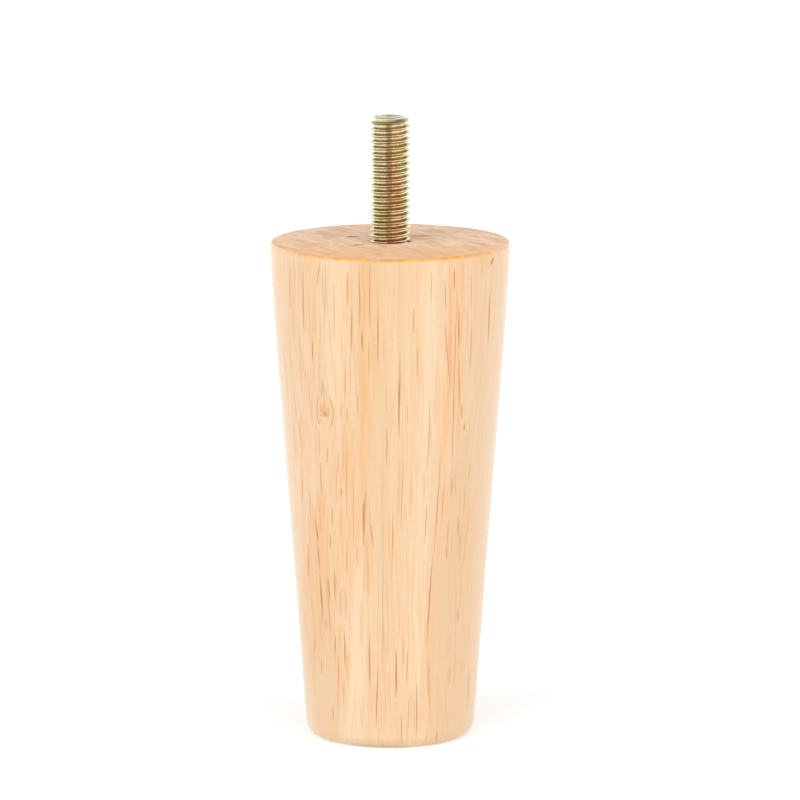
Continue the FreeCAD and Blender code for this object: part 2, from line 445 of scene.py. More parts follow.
def make_vessels():
    """Wood vessels cut open by the surface: long thin eggs around scattered points, standing along the grain,
    show as dashes on the side. Few says what share of the points is left out."""
    tree, given, out = new_group(
        "wood vessels",
        [("Place", VECTOR), ("Spacing", VALUE), ("Length", VALUE), ("Thickness", VALUE), ("Few", VALUE)],
        [("Mask", VALUE)],
    )
    place, spacing, length, thickness, few = list(given.outputs)[:5]
    place = vector_maths(tree, "DIVIDE", place, join(tree, spacing, spacing, length))
    cells = put(tree, "ShaderNodeTexVoronoi", {"Vector": place, "Scale": 1.0}, voronoi_dimensions="3D")
    pick = put(tree, "ShaderNodeSeparateColor", {0: cells.outputs["Color"]}).outputs[0]
    shape = ease(tree, cells.outputs["Distance"], thickness, times(tree, thickness, VESSEL_CORE))
    strength = ease(tree, pick, few, 1.0, VESSEL_FAINT, 1.0)
    chosen = maths(tree, "GREATER_THAN", pick, few)
    tree.links.new(times(tree, shape, times(tree, strength, chosen)), out.inputs["Mask"])
    return tree


def make_streaks():
    """Three streaks at once, one in each part of the vectors. A streak is full where the distance across is
    under half of a width that shrinks to nothing at both ends, which lie at the middle height plus and minus
    the half length."""
    tree, given, out = new_group(
        "three grain streaks",
        [("Place Across", VECTOR), ("Place Up", VECTOR), ("Across", VECTOR), ("Height", VECTOR),
         ("Half Length", VECTOR), ("Half Width", VECTOR), ("Lean", VECTOR), ("Strength", VECTOR)],
        [("Mask", VALUE)],
    )
    one, least, half = (1, 1, 1), (0.0001, 0.0001, 0.0001), (0.5, 0.5, 0.5)
    place_across, place_up, across, height, half_length, half_width, lean, strength = list(given.outputs)[:8]
    rise = vector_maths(tree, "SUBTRACT", place_up, height)
    leaning = vector_maths(tree, "MULTIPLY", rise, lean)
    away = vector_maths(tree, "SUBTRACT", place_across, across)
    away = vector_maths(tree, "ABSOLUTE", vector_maths(tree, "SUBTRACT", away, leaning))
    share = vector_maths(tree, "DIVIDE", rise, half_length)
    left = vector_maths(tree, "SUBTRACT", one, vector_maths(tree, "MULTIPLY", share, share))
    width = vector_maths(tree, "MULTIPLY", vector_maths(tree, "MAXIMUM", left, least), half_width)
    core = vector_maths(tree, "SUBTRACT", one, vector_maths(tree, "DIVIDE", away, width))
    core = vector_maths(tree, "MINIMUM", core, half)
    first, second, third = split(tree, vector_maths(tree, "MULTIPLY", core, strength))
    highest = maths(tree, "MAXIMUM", maths(tree, "MAXIMUM", first, second), third)
    tree.links.new(times(tree, highest, 2.0), out.inputs["Mask"])
    return tree


def add_up(tree, group, place, rows):
    """The highest mask of several listed streaks or bands, three to a group."""
    x, y, z = split(tree, place)
    labels = ("Across", "Height", "Half Length", "Half Width", "Lean", "Strength")
    spare = (0.0, 0.0, 1.0, 1.0, 0.0, 0.0)
    values = {"Place Across": join(tree, x, x, x), "Place Up": join(tree, z, z, z)}
    total = 0.0
    for first in range(0, len(rows), 3):
        three = list(rows[first:first + 3])
        three += [spare] * (3 - len(three))
        values.update({label: tuple(row[i] for row in three) for i, label in enumerate(labels)})
        total = maths(tree, "MAXIMUM", use_group(tree, group, values), total)
    return total


# The long open vessels on the front: across, height, half length, half width, lean, strength
FRONT_STREAKS = (
    (1.71, 70.0, 6.4, 0.17, 0.002, 1.0),
    (1.90, 76.0, 5.5, 0.13, 0.004, 0.8),
    (-0.65, 62.6, 4.4, 0.12, 0.000, 0.8),
    (9.30, 50.0, 10.5, 0.14, 0.062, 0.8),
    (7.75, 30.5, 9.8, 0.17, 0.066, 0.9),
    (7.60, 13.5, 5.5, 0.15, -0.040, 0.6),
    (12.60, 74.0, 20.0, 0.16, 0.026, 0.65),
    (11.70, 84.0, 11.0, 0.12, 0.010, 0.5),
    (-5.20, 47.0, 5.4, 0.19, 0.020, 0.75),
    (0.47, 44.2, 5.4, 0.11, 0.004, 0.8),
    (2.30, 54.0, 6.2, 0.11, 0.045, 0.75),
    (-1.50, 27.5, 13.8, 0.10, 0.000, 0.6),
    (-4.13, 18.4, 6.2, 0.18, -0.010, 0.8),
    (-2.65, 11.2, 7.4, 0.14, 0.026, 0.9),
    (1.19, 16.0, 5.6, 0.17, 0.000, 1.0),
    (5.25, 8.2, 6.2, 0.14, 0.012, 0.95),
    (4.75, 7.4, 5.4, 0.11, 0.000, 0.7),
    (3.60, 7.0, 5.8, 0.12, 0.040, 0.7),
    (2.25, 4.4, 3.4, 0.12, 0.000, 0.75),
    (-9.10, 20.4, 4.2, 0.15, 0.000, 0.8),
    (9.25, 2.0, 1.5, 0.16, 0.100, 0.8),
    (-12.2, 28.0, 7.0, 0.13, -0.060, 0.6),
    (2.60, 20.0, 4.0, 0.10, 0.030, 0.6),
    (15.9, 82.0, 5.5, 0.14, 0.020, 0.6),
    (19.5, 86.5, 6.0, 0.15, 0.030, 1.0),
    (12.6, 95.4, 2.4, 0.24, 0.000, 0.7),
    (13.5, 86.0, 4.6, 0.17, -0.010, 0.8),
    (11.2, 81.0, 7.0, 0.16, -0.080, 0.7),
    (13.6, 74.5, 5.8, 0.17, -0.010, 0.8),
    (20.1, 97.9, 0.8, 0.36, 0.300, 0.9),
    (-19.8, 92.5, 5.4, 0.11, 0.020, 0.6),
    (-17.1, 91.0, 7.6, 0.11, 0.000, 0.7),
    (-14.1, 96.5, 2.8, 0.13, 0.100, 0.7),
    (-12.8, 92.0, 7.4, 0.12, 0.020, 0.7),
    (-11.0, 89.0, 6.6, 0.11, 0.000, 0.6),
    (-8.4, 94.0, 3.8, 0.14, 0.000, 0.8),
    (-7.6, 85.5, 5.6, 0.13, 0.020, 0.9),
    (-5.5, 83.6, 2.6, 0.15, 0.000, 1.0),
    (-15.3, 80.6, 2.4, 0.14, -0.030, 0.9),
    (-16.3, 37.2, 3.6, 0.13, -0.020, 0.9),
    (-14.2, 38.7, 3.0, 0.14, -0.080, 0.9),
    (-14.6, 43.9, 2.4, 0.15, -0.140, 0.9),
    (-13.8, 31.1, 4.2, 0.16, -0.050, 1.0),
    (-12.2, 32.5, 3.0, 0.14, -0.080, 0.9),
    (-11.0, 33.2, 3.6, 0.14, 0.000, 0.9),
    (-5.3, 46.6, 5.0, 0.17, -0.015, 0.9),
    (-3.6, 44.1, 2.6, 0.15, -0.090, 0.8),
    (-17.9, 63.5, 3.4, 0.12, -0.060, 0.6),
    (-14.0, 62.5, 3.2, 0.11, 0.000, 0.5),
    (-13.7, 54.8, 3.6, 0.14, -0.040, 0.8),
    (-8.5, 68.3, 1.8, 0.13, 0.000, 0.6),
    (-9.7, 69.0, 1.3, 0.14, 0.000, 0.6),
    (-8.6, 55.1, 8.6, 0.10, 0.010, 0.7),
    (-10.3, 58.3, 3.4, 0.11, 0.040, 0.6),
    (-9.7, 52.5, 1.0, 0.16, 0.000, 0.9),
    (-12.4, 59.8, 1.8, 0.13, 0.030, 0.6),
    (-17.5, 51.8, 3.8, 0.12, 0.000, 0.6),
    (-15.9, 48.9, 3.4, 0.13, -0.030, 0.6),
    (-6.4, 71.0, 2.9, 0.13, 0.000, 0.6),
    (-7.3, 50.1, 9.5, 0.11, 0.000, 0.5),
    (-11.5, 47.1, 2.3, 0.15, 0.000, 0.7),
    (-11.9, 42.3, 1.8, 0.15, 0.000, 0.7),
    (-9.8, 46.3, 3.6, 0.10, 0.000, 0.5),
    (-8.6, 39.2, 3.8, 0.13, 0.000, 0.7),
    (-6.6, 39.3, 3.2, 0.10, 0.000, 0.5),
    (-13.6, 28.6, 4.2, 0.16, 0.000, 0.8),
    (-12.8, 24.9, 1.4, 0.15, 0.000, 0.7),
    (-15.1, 19.9, 1.6, 0.14, 0.000, 0.7),
    (-11.0, 21.1, 2.4, 0.15, 0.000, 0.8),
    (-10.3, 15.5, 3.4, 0.13, 0.000, 0.6),
    (-13.7, 15.9, 1.8, 0.14, 0.000, 0.7),
    (-11.4, 6.6, 1.8, 0.14, 0.000, 0.7),
    (3.4, 68.8, 2.0, 0.12, 0.000, 0.6),
    (7.6, 64.9, 7.8, 0.12, 0.040, 0.7),
    (14.1, 68.4, 1.8, 0.15, 0.050, 0.8),
    (14.6, 65.2, 1.0, 0.16, 0.000, 0.9),
    (10.4, 50.8, 4.2, 0.13, 0.070, 0.7),
    (12.2, 53.3, 2.2, 0.15, 0.080, 0.8),
    (11.4, 43.9, 2.6, 0.13, 0.040, 0.6),
    (13.4, 45.2, 2.2, 0.15, 0.030, 0.7),
    (7.0, 46.3, 4.4, 0.12, 0.070, 0.7),
    (15.7, 56.1, 2.0, 0.13, 0.050, 0.6),
    (11.2, 40.1, 1.7, 0.16, 0.000, 0.8),
    (13.4, 26.6, 1.5, 0.15, 0.000, 0.7),
    (3.3, 17.2, 3.8, 0.13, 0.030, 0.7),
    (15.6, 10.4, 5.0, 0.13, 0.030, 0.7),
    (-2.4, 84.3, 6.2, 0.16, 0.000, 0.8),
    (-6.0, 92.0, 6.0, 0.13, 0.000, 0.7),
    (-4.0, 92.8, 7.0, 0.15, 0.000, 0.7),
    (-4.2, 80.0, 3.6, 0.14, 0.000, 0.6),
    (4.6, 87.5, 2.9, 0.13, 0.000, 0.7),
    (5.3, 79.0, 4.2, 0.12, 0.000, 0.6),
    (8.1, 94.3, 3.8, 0.12, 0.000, 0.6),
    (10.8, 92.4, 3.2, 0.14, 0.000, 0.8),
    (15.9, 92.5, 4.4, 0.11, 0.000, 0.6),
    (-13.4, 73.4, 2.2, 0.13, 0.000, 0.7),
)

# Marks on the top face: forward place, sideways place, half length, half width, lean, strength
END_MARKS = (
    (5.4, -7.6, 1.5, 1.40, 0.10, 1.0),
    (-5.7, -6.6, 1.8, 1.50, 0.50, 0.8),
    (6.7, 6.8, 1.9, 1.40, -0.20, 0.7),
    (-2.7, 7.3, 2.4, 1.20, 0.20, 0.4),
    (-8.5, 12.0, 2.6, 1.20, 0.30, 0.3),
    (9.0, -14.0, 2.2, 1.20, -0.20, 0.3),
)

# Broad bands of tone through the wood: across, height, half length, half width, lean, strength
PEACH_BANDS = (
    (-4.6, 84.0, 34.0, 3.4, 0.020, 0.95),
    (-6.6, 56.0, 26.0, 3.0, 0.060, 0.75),
    (-11.4, 40.0, 22.0, 2.6, 0.060, 0.45),
    (2.2, 98.0, 16.0, 2.8, 0.000, 0.50),
    (-4.6, 40.0, 8.0, 0.9, 0.000, 0.80),
    (-14.6, 34.0, 20.0, 3.6, 0.060, 0.85),
    (16.2, 47.0, 4.0, 1.3, 0.030, 1.00),
    (18.6, 98.6, 2.6, 2.6, 0.000, 1.00),
)
# Lighter bands, partly paler wood and partly painted highlights where the soft lamps shine on the lacquer
# left and right of the middle
PALE_AND_HIGHLIGHT_BANDS = (
    (7.6, 88.0, 34.0, 1.9, 0.030, 0.70),
    (5.6, 40.0, 44.0, 1.7, 0.030, 0.55),
    (-11.2, 93.0, 26.0, 4.4, 0.000, 0.50),
    (-6.9, 12.0, 28.0, 1.9, 0.020, 0.80),
    (0.4, 84.0, 24.0, 1.2, 0.000, 0.30),
)
PINK_BANDS = (
    (11.9, 88.0, 20.0, 1.1, 0.010, 0.85),
    (13.7, 80.0, 22.0, 1.0, 0.020, 0.90),
    (10.4, 56.0, 30.0, 1.4, 0.060, 0.55),
    (8.0, 24.0, 12.0, 0.8, 0.060, 0.90),
)
# Darker tan bands: the one down the whole right side is painted shade on the side turned away from the light,
# the other two are darker wood
TAN_AND_SHADE_BANDS = (
    (18.2, 50.0, 140.0, 6.5, 0.050, 0.50),
    (12.5, 22.0, 44.0, 6.5, 0.050, 0.90),
    (-13.5, 20.0, 30.0, 5.0, -0.050, 0.75),
)

# Places where the fine open vessels crowd together
PORE_BANDS = (
    (-17.0, 86.0, 30.0, 7.0, 0.050, 1.0),
    (-8.5, 70.0, 40.0, 4.0, 0.060, 0.9),
    (-14.6, 33.0, 24.0, 4.2, 0.060, 1.0),
    (-9.6, 20.0, 14.0, 3.0, 0.030, 0.9),
    (-4.6, 42.0, 12.0, 2.2, 0.000, 1.0),
    (13.2, 82.0, 24.0, 3.0, 0.020, 0.9),
    (13.8, 38.0, 16.0, 2.4, 0.060, 1.0),
    (2.5, 8.0, 9.0, 6.0, 0.000, 0.6),
)

# Colours of the wood, its vessels, knot, edge and end grain; the pale tone is partly a painted highlight and
# the tan tone partly painted shade
WOOD_CREAM = colour(213, 181, 142)
WOOD_LIGHT = colour(216, 186, 150)
WOOD_PEACH = colour(216, 169, 119)
WOOD_PALE_AND_HIGHLIGHT = colour(220, 193, 159)
WOOD_PINK = colour(219, 161, 108)
WOOD_TAN_AND_SHADE = colour(208, 174, 134)
WOOD_FIBRE = colour(212, 158, 102)
VESSEL_PALE = colour(203, 145, 86)
VESSEL_BROWN = colour(188, 124, 62)
VESSEL_DARK = colour(178, 110, 34)
VESSEL_ROSE = colour(189, 110, 48)
KNOT_HONEY = colour(205, 143, 68)
KNOT_BROWN = colour(146, 96, 34)
EDGE_HONEY = colour(220, 162, 68)
EDGE_AMBER = colour(208, 144, 72)
END_DARK = colour(213, 169, 137)
END_LIGHT = colour(230, 201, 173)
END_BROWN = colour(176, 112, 64)
END_PIT = colour(192, 134, 88)
END_HONEY = colour(224, 172, 118)

# How fast each noise changes along x, y and z, per millimetre
SWAY_RATE = (0.05, 0.05, 0.020)
WOBBLE_RATE = (0.3, 0.3, 0.16)
TONE_RATE = (0.50, 0.50, 0.014)
LINE_RATE = (1.5, 1.5, 0.03)
FIBRE_RATE = (4.0, 4.0, 0.07)
CROWD_RATE = (0.16, 0.16, 0.022)
RIPPLE_RATE = (0.9, 0.9, 3.6)
KNOT_RATE = (1.1, 1.1, 1.1)
BLOTCH_RATE = (0.30, 0.10, 0)
SPECKLE_RATE = (2.0, 0.6, 0)
EDGE_RATE = (0.45, 0.45, 0.3)

# How far the grain sways and wobbles, and how far the lines fray the broad bands, in millimetres
SWAY_REACH = 2.0
WOBBLE_REACH = 0.22
FRAY_REACH = 5.0

# The knot: its place, the direction along the surface there, how far and how much it pushes the grain aside,
# its core's half width and unevenness, its rings, the dark lines beside it, and its eye
KNOT_PLACE = (-12.9, -17.70, 68.6)
KNOT_SIDE = (0.809, -0.588, 0)
PUSH_WIDTH = 2.0
PUSH_HEIGHT = 3.4
PUSH_SHARE = -0.85
CORE_HALF_WIDTH = 1.20
CORE_UNEVEN = 0.9
CORE_STRENGTH = 0.55
RING_COUNT = 9.0
RING_DEPTH = 0.2
SHELL_WIDTH = 2.0
SHELL_HEIGHT = 3.8
EYE_ASIDE = 0.12
EYE_BELOW = 0.45

# Front and back, the grain leans with the taper: by how much at the foot, and how much less per millimetre up
LEAN_AT_FOOT = 1.18
LEAN_PER_MM = -0.0018

# How much of a vessel's distance into the wood counts, so that the taper cuts the vessels at a low angle
INTO_WOOD = 0.2

# The scattered vessels, and how far the second and third set are moved away from the first
SHORT_VESSELS = {"Spacing": 0.34, "Length": 16.0, "Thickness": 0.30, "Few": 0.62}
FINE_VESSELS = {"Spacing": 0.28, "Length": 26.0, "Thickness": 0.34, "Few": 0.60}
HAIR_VESSELS = {"Spacing": 0.22, "Length": 50.0, "Thickness": 0.34, "Few": 0.60}
FINE_OFFSET = (13.0, 7.0, 41.0)
HAIR_OFFSET = (31.0, 3.0, 17.0)

# How strongly they show: the share that follows the crowding, and the share that shows everywhere
HAIR_CROWDED = 0.8
FINE_CROWDED = 0.9
FINE_ANYWHERE = 0.1
SHORT_CROWDED = 0.65

# Fades: from which to which value of a noise, distance or place, and from which to which strength
LIGHT_FADE = (0.36, 0.64)
PEACH_FADE = (0.54, 0.66, 0.0, 0.5)
PATCHY_FADE = (0.30, 0.62, 0.35, 1.0)
BROKEN_FADE = (0.36, 0.60, 0.40, 1.0)
CROWD_FADE = (0.42, 0.62, 0.25, 0.95)
CALM_FRONT_FADE = (4.0, -8.0, 1.0, 0.55)
LINE_FADE = (0.54, 0.72, 0.0, 0.35)
FIBRE_FADE = (0.48, 0.70, 0.0, 0.70)
RIPPLE_FADE = (0.45, 0.75, 0.0, 0.14)
BEHIND_FADE = (-6.0, 4.0)
BEHIND_STRENGTH_FADE = (-6.0, 4.0, 0.2, 0.75)
ROSE_FADE = (7.0, 11.0)
SHELL_FADE = (0.10, 0.02, 0.0, 0.8)
SHELL_SIDE_FADE = (1.2, 1.6)
CORE_FADE = (1.1, 0.75)
EYE_FADE = (0.55, 0.15, 0.0, 0.6)
TOP_FACE_FADE = (99.86, 99.98)
SOLE_FADE = (0.10, 0.0)
END_TONE_FADE = (0.32, 0.62)
PIT_FADE = (0.46, 0.76, 0.0, 0.45)
END_HONEY_FADE = (-3.0, -13.0, 0.0, 0.5)
EDGE_HEIGHT_FADE = (99.20, 99.50)
EDGE_PATCH_FADE = (0.30, 0.55, 0.50, 0.95)
EDGE_SIDE_FADE = (-22.0, -6.0, 0.55, 1.0)
EDGE_TONE_FADE = (0.40, 0.60)

# How far the end grain's figure slants, and how strong the marks in it are
END_SLANT = 0.45
MARK_STRENGTH = 0.8

# The lacquer: its coat, which the ends lack, and how rough the wood below is on the sides and on the ends
LACQUER_IOR = 1.45
COAT_WEIGHT = 0.8
COAT_ROUGHNESS = 0.16
SIDE_ROUGHNESS = 0.42
FIBRE_ROUGHNESS = 0.14
END_ROUGHNESS = 0.4

# The wood's relief: fibres stand out, vessels and the pits in the end grain are sunk
FIBRE_RELIEF = 0.25
VESSEL_RELIEF = 0.15
PIT_RELIEF = 1.2
WOOD_BUMP = {"Strength": 0.5, "Distance": 0.00004}


def wood_places(tree):
    """The coordinates that the wood's effects read, in millimetres. The grain wanders a little and bends
    round the knot. Fibres and vessels lean with the taper in front and behind, sway more, and are drawn out
    into the wood."""
    at = SimpleNamespace(place=in_millimetres(tree))
    at.x, at.y, at.z = split(tree, at.place)
    at.front = maths(tree, "LESS_THAN", at.y, 0.0)

    sway = wander(tree, at.place, SWAY_RATE, SWAY_REACH)
    wobble = wander(tree, at.place, WOBBLE_RATE, WOBBLE_REACH)
    knot = vector_maths(tree, "SUBTRACT", at.place, KNOT_PLACE)
    dot = put(tree, "ShaderNodeVectorMath", {0: knot, 1: KNOT_SIDE}, operation="DOT_PRODUCT")
    at.along = dot.outputs["Value"]
    at.upward = split(tree, knot)[2]
    near_along = maths(tree, "DIVIDE", at.along, PUSH_WIDTH)
    near = squares(tree, near_along, maths(tree, "DIVIDE", at.upward, PUSH_HEIGHT))
    pull = times(tree, maths(tree, "EXPONENT", times(tree, near, -1.0)), at.front)
    push = times(tree, times(tree, at.along, pull), PUSH_SHARE)
    bent = put(tree, "ShaderNodeVectorMath", {0: KNOT_SIDE, "Scale": push}, operation="SCALE").outputs[0]
    shift = vector_maths(tree, "ADD", bent, wobble)
    at.grain = vector_maths(tree, "ADD", at.place, shift)

    lean = join(tree, 1.0, times_plus(tree, at.z, LEAN_PER_MM, LEAN_AT_FOOT), 1.0)
    leant = vector_maths(tree, "MULTIPLY", at.place, lean)
    at.swayed = vector_maths(tree, "ADD", vector_maths(tree, "ADD", leant, shift), sway)

    sideways = maths(tree, "GREATER_THAN", maths(tree, "ABSOLUTE", at.x), maths(tree, "ABSOLUTE", at.y))
    keep_x = times_plus(tree, sideways, INTO_WOOD - 1.0, 1.0)
    keep_y = times_plus(tree, sideways, 1.0 - INTO_WOOD, INTO_WOOD)
    at.drawn = vector_maths(tree, "MULTIPLY", at.swayed, join(tree, keep_x, keep_y, 1.0))
    return at


def add_tones(tree, at, streak):
    """Cream wood with bands of tan, peach, pink and pale tone, whose sides are frayed by finer lines, with
    fibres where the vessels crowd, and with a faint ripple across the grain. Some pale bands are painted
    highlights of the soft lamps on the lacquer, and the tan band down the right side is painted shade."""
    middle = noise(tree, at.swayed, TONE_RATE, 2.0, 0.55)
    line = noise(tree, at.swayed, LINE_RATE, 1.0, 0.5)
    at.fibre = noise(tree, at.drawn, FIBRE_RATE, 2.0, 0.6)
    fray = join(tree, times_plus(tree, line, FRAY_REACH, -FRAY_REACH / 2), 0.0, 0.0)
    loose = vector_maths(tree, "ADD", at.grain, fray)
    patchy = times(tree, ease(tree, middle, *PATCHY_FADE), ease(tree, line, *BROKEN_FADE))
    wood = blend(tree, ease(tree, middle, *LIGHT_FADE), WOOD_CREAM, WOOD_LIGHT)
    wood = blend(tree, ease(tree, middle, *PEACH_FADE), wood, WOOD_PEACH)
    # Darker wood, and painted shade down the right side, in the tan bands
    wood = blend(tree, add_up(tree, streak, loose, TAN_AND_SHADE_BANDS), wood, WOOD_TAN_AND_SHADE)
    wood = blend(tree, times(tree, add_up(tree, streak, loose, PEACH_BANDS), patchy), wood, WOOD_PEACH)
    wood = blend(tree, times(tree, add_up(tree, streak, loose, PINK_BANDS), patchy), wood, WOOD_PINK)
    # Paler wood and painted highlights of the soft lamps, in the lighter bands
    wood = blend(tree, add_up(tree, streak, loose, PALE_AND_HIGHLIGHT_BANDS), wood, WOOD_PALE_AND_HIGHLIGHT)
    wood = blend(tree, ease(tree, line, *LINE_FADE), wood, WOOD_PEACH)

    crowd = noise(tree, at.swayed, CROWD_RATE, 1.0, 0.5)
    spread = times(tree, ease(tree, crowd, *CROWD_FADE), ease(tree, at.y, *CALM_FRONT_FADE))
    placed = times(tree, add_up(tree, streak, at.grain, PORE_BANDS), at.front)
    at.pores = maths(tree, "MAXIMUM", spread, placed)
    wood = blend(tree, times(tree, ease(tree, at.fibre, *FIBRE_FADE), at.pores), wood, WOOD_FIBRE)
    ripple = noise(tree, at.place, RIPPLE_RATE, 2.0, 0.6)
    return blend(tree, ease(tree, ripple, *RIPPLE_FADE), wood, WOOD_FIBRE)


def add_vessels(tree, at, wood, streak):
    """Open vessels: pale hairs, fine lines and short brown dashes that are scattered, and in front the long
    ones that are listed one by one. Behind, where none is listed, the dashes are darker and stronger."""
    vessels = make_vessels()
    at.short = use_group(tree, vessels, {"Place": at.drawn, **SHORT_VESSELS})
    shifted = vector_maths(tree, "ADD", at.drawn, FINE_OFFSET)
    fine = use_group(tree, vessels, {"Place": shifted, **FINE_VESSELS})
    shifted = vector_maths(tree, "ADD", at.drawn, HAIR_OFFSET)
    hair = use_group(tree, vessels, {"Place": shifted, **HAIR_VESSELS})
    long_ones = times(tree, add_up(tree, streak, at.grain, FRONT_STREAKS), at.front)
    wood = blend(tree, times(tree, hair, times(tree, at.pores, HAIR_CROWDED)), wood, VESSEL_PALE)
    shown = times_plus(tree, at.pores, FINE_CROWDED, FINE_ANYWHERE)
    wood = blend(tree, times(tree, fine, shown), wood, VESSEL_PALE)
    shown = times_plus(tree, at.pores, SHORT_CROWDED, ease(tree, at.y, *BEHIND_STRENGTH_FADE), clamp=True)
    brown = blend(tree, ease(tree, at.y, *BEHIND_FADE), VESSEL_BROWN, VESSEL_DARK)
    wood = blend(tree, times(tree, at.short, shown), wood, brown)
    brown = blend(tree, ease(tree, at.x, *ROSE_FADE), VESSEL_DARK, VESSEL_ROSE)
    return blend(tree, long_ones, wood, brown)


def add_knot(tree, at, wood):
    """The knot: a honey-coloured core with faint rings and a brown eye, between two curved lines of grain."""
    core_along = maths(tree, "DIVIDE", at.along, CORE_HALF_WIDTH)
    core = squares(tree, core_along, maths(tree, "DIVIDE", at.upward, CORE_HALF_WIDTH))
    uneven = times_plus(tree, noise(tree, at.place, KNOT_RATE, 2.0, 0.6), CORE_UNEVEN, -CORE_UNEVEN / 2)
    core = maths(tree, "ADD", maths(tree, "SQRT", core), uneven)
    shell_along = maths(tree, "DIVIDE", at.along, SHELL_WIDTH)
    shell = squares(tree, shell_along, maths(tree, "DIVIDE", at.upward, SHELL_HEIGHT))
    shell = maths(tree, "ABSOLUTE", maths(tree, "ADD", maths(tree, "SQRT", shell), -1.0))
    sides = times(tree, ease(tree, maths(tree, "ABSOLUTE", at.along), *SHELL_SIDE_FADE), at.front)
    wood = blend(tree, times(tree, ease(tree, shell, *SHELL_FADE), sides), wood, VESSEL_BROWN)
    rings = times_plus(tree, maths(tree, "SINE", times(tree, core, RING_COUNT)), RING_DEPTH, CORE_STRENGTH)
    rings = times(tree, rings, at.front)
    wood = blend(tree, times(tree, ease(tree, core, *CORE_FADE), rings), wood, KNOT_HONEY)
    eye_along = maths(tree, "ADD", at.along, -EYE_ASIDE)
    eye = maths(tree, "SQRT", squares(tree, eye_along, maths(tree, "ADD", at.upward, EYE_BELOW)))
    return blend(tree, times(tree, ease(tree, eye, *EYE_FADE), at.front), wood, KNOT_BROWN)


def add_ends(tree, at, wood, streak):
    """End grain on the top and the foot, with marks and a warmer front on the top, and the honey-coloured
    edge round the top."""
    at.ends = maths(tree, "MAXIMUM", ease(tree, at.z, *TOP_FACE_FADE), ease(tree, at.z, *SOLE_FADE))
    flat = join(tree, times_plus(tree, at.y, END_SLANT, at.x), at.y, 0.0)
    blotch = noise(tree, flat, BLOTCH_RATE, 3.0, 0.6)
    at.speckle = noise(tree, flat, SPECKLE_RATE, 3.0, 0.6)
    end = blend(tree, ease(tree, blotch, *END_TONE_FADE), END_DARK, END_LIGHT)
    end = blend(tree, ease(tree, at.speckle, *PIT_FADE), end, END_PIT)
    marks = add_up(tree, streak, join(tree, at.y, 0.0, at.x), END_MARKS)
    end = blend(tree, times(tree, marks, MARK_STRENGTH), end, END_BROWN)
    end = blend(tree, ease(tree, at.y, *END_HONEY_FADE), end, END_HONEY)
    patches = noise(tree, at.place, EDGE_RATE, 2.0, 0.6)
    rim = times(tree, ease(tree, at.z, *EDGE_HEIGHT_FADE), ease(tree, patches, *EDGE_PATCH_FADE))
    rim = times(tree, rim, ease(tree, at.x, *EDGE_SIDE_FADE))
    honey = blend(tree, ease(tree, blotch, *EDGE_TONE_FADE), EDGE_HONEY, EDGE_AMBER)
    return blend(tree, at.ends, blend(tree, rim, wood, honey), end)


def make_wood():
    """Light rubberwood under clear satin lacquer: broad soft tone bands that run up the grain, among them
    painted highlights of the soft lamps and painted shade down the right side, fine fibres, short brown
    vessels, some long ones, one small knot with the grain bent round it, and darker end grain."""
    material, tree = new_material("lacquered rubberwood")
    at = wood_places(tree)
    streak = make_streaks()
    wood = add_tones(tree, at, streak)
    wood = add_vessels(tree, at, wood, streak)
    wood = add_knot(tree, at, wood)
    wood = add_ends(tree, at, wood, streak)

    sides_roughness = times_plus(tree, at.fibre, FIBRE_ROUGHNESS, SIDE_ROUGHNESS)
    raised = times(tree, at.fibre, FIBRE_RELIEF)
    relief = maths(tree, "SUBTRACT", raised, times(tree, at.short, VESSEL_RELIEF))
    pits = times(tree, at.speckle, times(tree, at.ends, PIT_RELIEF))
    bump = put(tree, "ShaderNodeBump", {"Height": maths(tree, "SUBTRACT", relief, pits), **WOOD_BUMP})
    shader = put(tree, "ShaderNodeBsdfPrincipled", {
        "Base Color": wood,
        "IOR": LACQUER_IOR,
        "Coat Roughness": COAT_ROUGHNESS,
        "Coat Weight": times_plus(tree, at.ends, -COAT_WEIGHT, COAT_WEIGHT),
        "Roughness": maths(tree, "ADD", sides_roughness, times(tree, at.ends, END_ROUGHNESS)),
        "Normal": bump.outputs[0],
    })
    put(tree, "ShaderNodeOutputMaterial", {"Surface": shader.outputs[0]})
    return material


# Colours of the zinc plating, of the painted shade in the thread's roots, and of the bare cut end and its
# ring
ZINC_GOLD = colour(250, 240, 206)
ZINC_BRIGHT = colour(255, 253, 232)
ZINC_GREEN = colour(206, 220, 130)
ZINC_ROSE = colour(224, 172, 138)
ZINC_SHEEN = colour(236, 234, 222)
ROOT_SHADE_OLIVE = colour(158, 142, 106)
ROOT_SHADE_BROWN = colour(182, 146, 98)
CUT_BARE = colour(240, 240, 238)
CUT_RING = colour(118, 128, 136)

# How fast each noise on the bolt changes along x, y and z, per millimetre
PATCH_RATE = (0.35, 0.35, 0.50)
MOTTLE_RATE = (3.0, 3.0, 3.0)
SCRATCH_RATE = (1.2, 1.2, 14.0)

# Fades on the bolt: from which to which value, radius, place or height, and from which to which strength
GOLD_FADE = (0.4, 0.65)
GREEN_FADE = (0.50, 0.62, 0.0, 0.65)
PINK_FADE = (0.54, 0.66, 0.0, 0.60)
CREST_FADE = (3.94, 3.76)
DEEPEST_FADE = (3.19, 3.32, 0.25, 1.0)
LAST_TURN_FADE = (124.6, 123.8)
SHADE_BROWN_LEFT_FADE = (-2.0, -0.4)
SHADE_BROWN_RIGHT_FADE = (3.3, 2.4)
CUT_FADE = (124.75, 124.95)
RING_FADE = (2.60, 2.95)
RING_SIDE_FADE = (-1.2, 0.8, 0.3, 1.0)
DULL_END_FADE = (123.1, 124.1)

# Strengths of the painted shade in the roots and of the bare end, and the roughness and relief of the plating
ROOT_SHADE_STRENGTH = 0.85
CUT_STRENGTH = 0.85
ZINC_ROUGHNESS = 0.05
MOTTLE_ROUGHNESS = 0.14
DULL_END_ROUGHNESS = 0.35
SCRATCH_RELIEF = 0.5
ZINC_BUMP = {"Strength": 0.4, "Distance": 0.00004}


